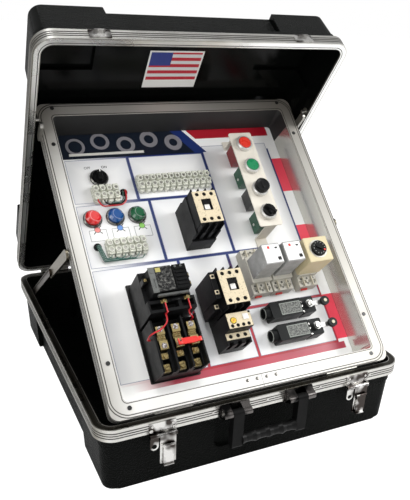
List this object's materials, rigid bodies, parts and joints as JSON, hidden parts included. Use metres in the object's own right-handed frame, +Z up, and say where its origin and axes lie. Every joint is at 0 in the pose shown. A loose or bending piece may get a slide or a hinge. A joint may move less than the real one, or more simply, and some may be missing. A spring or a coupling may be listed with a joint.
{
  "type": "motor controls trainer",
  "caption": "Electrical motor-control trainer in a moulded carrying case: lid propped open, tilted tray with contactors, starter, relays, timer, lamps, push-buttons and limit switches.",
  "frame": {"origin": "centre of the case's flat bottom, on the surface it stands on", "axes": "+Z up, +Y from the handle side towards the lid's hinges, +X to the right of someone facing the handle"},
  "size_m": [0.538, 0.6849, 0.6465],
  "materials": {
    "case_plastic": "moulded grained black plastic",
    "band_metal": "satin ribbed extrusion",
    "hardware": "bright plated steel",
    "black_metal": "satin black",
    "tray_metal": "satin anodised",
    "panel_print": "white with printed boxes and lines",
    "black_plastic": "satin black",
    "white_plastic": "smooth ivory",
    "terminal_plastic": "milky translucent",
    "grey_plastic": "mid grey",
    "lens": "translucent coloured",
    "red_plastic": "glossy red",
    "green_plastic": "glossy green",
    "yellow_plastic": "yellow dial",
    "brass": "plain brass",
    "steel": "zinc plated",
    "station_cream": "cream enamel",
    "relay_case": "smoked clear cover",
    "roller": "black tyre on a cream hub",
    "wire_red": "insulation",
    "wire_black": "insulation",
    "wire_green": "insulation"
  },
  "bodies": {
    "case_base": {"base_shell": "case_plastic", "base_band": "band_metal", "base_fittings": "steel", "base_hinge_leaves": "steel", "hinge_pins": "steel", "handle_brackets": "hardware", "latch_plates": "hardware"},
    "handle": {"handle_arms": "black_metal", "handle_grip": "black_plastic"},
    "lid": {"lid_shell": "case_plastic", "lid_band": "band_metal", "lid_hinge_leaves": "steel", "lid_strikes": "hardware", "lid_prop_studs": "steel"},
    "latch_lever_left": {"latch_lever_left": "hardware"},
    "latch_lever_right": {"latch_lever_right": "hardware"},
    "latch_hook_left": {"latch_hook_left": "hardware"},
    "latch_hook_right": {"latch_hook_right": "hardware"},
    "stay_channels": {"stay_channels": "steel"},
    "stay_sleeves": {"stay_sleeves": "steel"},
    "power_knob": {"power_knob": "black_plastic"},
    "black_knob": {"black_knob": "black_plastic"},
    "selector_knob": {"selector_knob": "black_plastic"},
    "red_button": {"red_button": "red_plastic"},
    "green_button": {"green_button": "green_plastic"},
    "contactor_plunger": {"contactor_plunger": "white_plastic"},
    "starter_contactor_plunger": {"starter_contactor_plunger": "white_plastic"},
    "overload_dial": {"overload_dial": "yellow_plastic"},
    "timer_dial": {"timer_dial": "black_plastic"},
    "reset_bar": {"reset_bar": "red_plastic"},
    "limit_lever_upper": {"limit_lever_upper": "steel"},
    "limit_lever_lower": {"limit_lever_lower": "steel"},
    "limit_roller_upper": {"limit_roller_upper": "roller"},
    "limit_roller_lower": {"limit_roller_lower": "roller"},
    "tray": {"tray_frame": "tray_metal", "panel": "panel_print", "button_bezels": "hardware", "contact_blocks": "black_plastic", "contactor": "grey_plastic", "grommets": "black_plastic", "lamp_lenses": "lens", "lid_props": "steel", "limit_switches": "grey_plastic", "overload_relay": "grey_plastic", "panel_operators": "hardware", "pigtail_terminals": "terminal_plastic", "relay_sockets": "black_plastic", "relays": "relay_case", "starter_block": "black_plastic", "starter_contactor": "grey_plastic", "starter_heaters": "brass", "starter_overload": "black_plastic", "starter_plate": "steel", "station_plate": "station_cream", "terminal_strip": "terminal_plastic", "timer": "station_cream", "tray_fittings": "steel", "wires_black": "wire_black", "wires_green": "wire_green", "wires_red": "wire_red"}
  },
  "joints": [
    {"name": "lid_hinge", "type": "hinge", "parent": "case_base", "child": "lid", "pos_m": [0, 0.304, 0.116], "axis": [-1, 0, 0], "range_deg": [0, 40]},
    {"name": "tray_tilt", "type": "hinge", "parent": "case_base", "child": "tray", "pos_m": [0, -0.282, 0.107], "axis": [1, 0, 0], "range_deg": [-43.4, 0]},
    {"name": "stay_channel_swing", "type": "hinge", "parent": "case_base", "child": "stay_channels", "pos_m": [0, 0.244, 0.09], "axis": [1, 0, 0], "range_deg": [0, 27.75]},
    {"name": "stay_sleeve_swing", "type": "hinge", "parent": "tray", "child": "stay_sleeves", "pos_m": [0, -0.08421, 0.29954], "axis": [1, 0, 0], "range_deg": [0, 71.15]},
    {"name": "handle_swing", "type": "hinge", "parent": "case_base", "child": "handle", "pos_m": [0, -0.311, 0.105], "axis": [-1, 0, 0], "range_deg": [0, 150]},
    {"name": "latch_left_swing", "type": "hinge", "parent": "case_base", "child": "latch_lever_left", "pos_m": [-0.167, -0.304, 0.093], "axis": [-1, 0, 0], "range_deg": [0, 90]},
    {"name": "latch_left_hook", "type": "hinge", "parent": "latch_lever_left", "child": "latch_hook_left", "pos_m": [-0.167, -0.3098, 0.078], "axis": [-1, 0, 0], "range_deg": [0, 105]},
    {"name": "latch_right_swing", "type": "hinge", "parent": "case_base", "child": "latch_lever_right", "pos_m": [0.179, -0.304, 0.093], "axis": [-1, 0, 0], "range_deg": [0, 90]},
    {"name": "latch_right_hook", "type": "hinge", "parent": "latch_lever_right", "child": "latch_hook_right", "pos_m": [0.179, -0.3098, 0.078], "axis": [-1, 0, 0], "range_deg": [0, 105]},
    {"name": "power_switch_turn", "type": "hinge", "parent": "tray", "child": "power_knob", "pos_m": [-0.155, 0.04825, 0.38214], "axis": [0, 0.6871, -0.7266], "range_deg": [0, 90]},
    {"name": "red_button_press", "type": "slide", "parent": "tray", "child": "red_button", "axis": [0, 0.6871, -0.7266], "range_m": [0, 0.003], "stiffness_N_per_m": 300},
    {"name": "green_button_press", "type": "slide", "parent": "tray", "child": "green_button", "axis": [0, 0.6871, -0.7266], "range_m": [0, 0.003], "stiffness_N_per_m": 300},
    {"name": "black_knob_turn", "type": "hinge", "parent": "tray", "child": "black_knob", "pos_m": [0.111, -0.04053, 0.36287], "axis": [0, 0.6871, -0.7266], "range_deg": [-45, 45]},
    {"name": "selector_turn", "type": "hinge", "parent": "tray", "child": "selector_knob", "pos_m": [0.111, -0.07505, 0.33023], "axis": [0, 0.6871, -0.7266], "range_deg": [-45, 45]},
    {"name": "contactor_press", "type": "slide", "parent": "tray", "child": "contactor_plunger", "axis": [0, 0.6871, -0.7266], "range_m": [0, 0.003], "stiffness_N_per_m": 200},
    {"name": "starter_press", "type": "slide", "parent": "tray", "child": "starter_contactor_plunger", "axis": [0, 0.6871, -0.7266], "range_m": [0, 0.003], "stiffness_N_per_m": 200},
    {"name": "reset_press", "type": "slide", "parent": "tray", "child": "reset_bar", "axis": [0, 0.6871, -0.7266], "range_m": [0, 0.003], "stiffness_N_per_m": 300},
    {"name": "overload_dial_turn", "type": "hinge", "parent": "tray", "child": "overload_dial", "pos_m": [-0.025, -0.22137, 0.21113], "axis": [0, 0.6871, -0.7266], "range_deg": [-120, 120]},
    {"name": "timer_dial_turn", "type": "hinge", "parent": "tray", "child": "timer_dial", "pos_m": [0.163, -0.16377, 0.28762], "axis": [0, 0.6871, -0.7266], "range_deg": [-30, 240]},
    {"name": "limit_lever_upper_swing", "type": "hinge", "parent": "tray", "child": "limit_lever_upper", "pos_m": [0.144, -0.17987, 0.19257], "axis": [0, -0.6871, 0.7266], "range_deg": [-35, 35], "stiffness_Nm_per_rad": 0.5},
    {"name": "limit_roller_upper_spin", "type": "hinge", "parent": "limit_lever_upper", "child": "limit_roller_upper", "pos_m": [0.175, -0.18193, 0.19475], "axis": [0, -0.6871, 0.7266], "continuous": true},
    {"name": "limit_lever_lower_swing", "type": "hinge", "parent": "tray", "child": "limit_lever_lower", "pos_m": [0.144, -0.20966, 0.1644], "axis": [0, -0.6871, 0.7266], "range_deg": [-35, 35], "stiffness_Nm_per_rad": 0.5},
    {"name": "limit_roller_lower_spin", "type": "hinge", "parent": "limit_lever_lower", "child": "limit_roller_lower", "pos_m": [0.175, -0.21172, 0.16658], "axis": [0, -0.6871, 0.7266], "continuous": true}
  ],
  "couplings": [
    {"joint": "stay_channel_swing", "follows": "tray_tilt", "ratio": -0.63949},
    {"joint": "stay_sleeve_swing", "follows": "tray_tilt", "ratio": -1.6395}
  ]
}
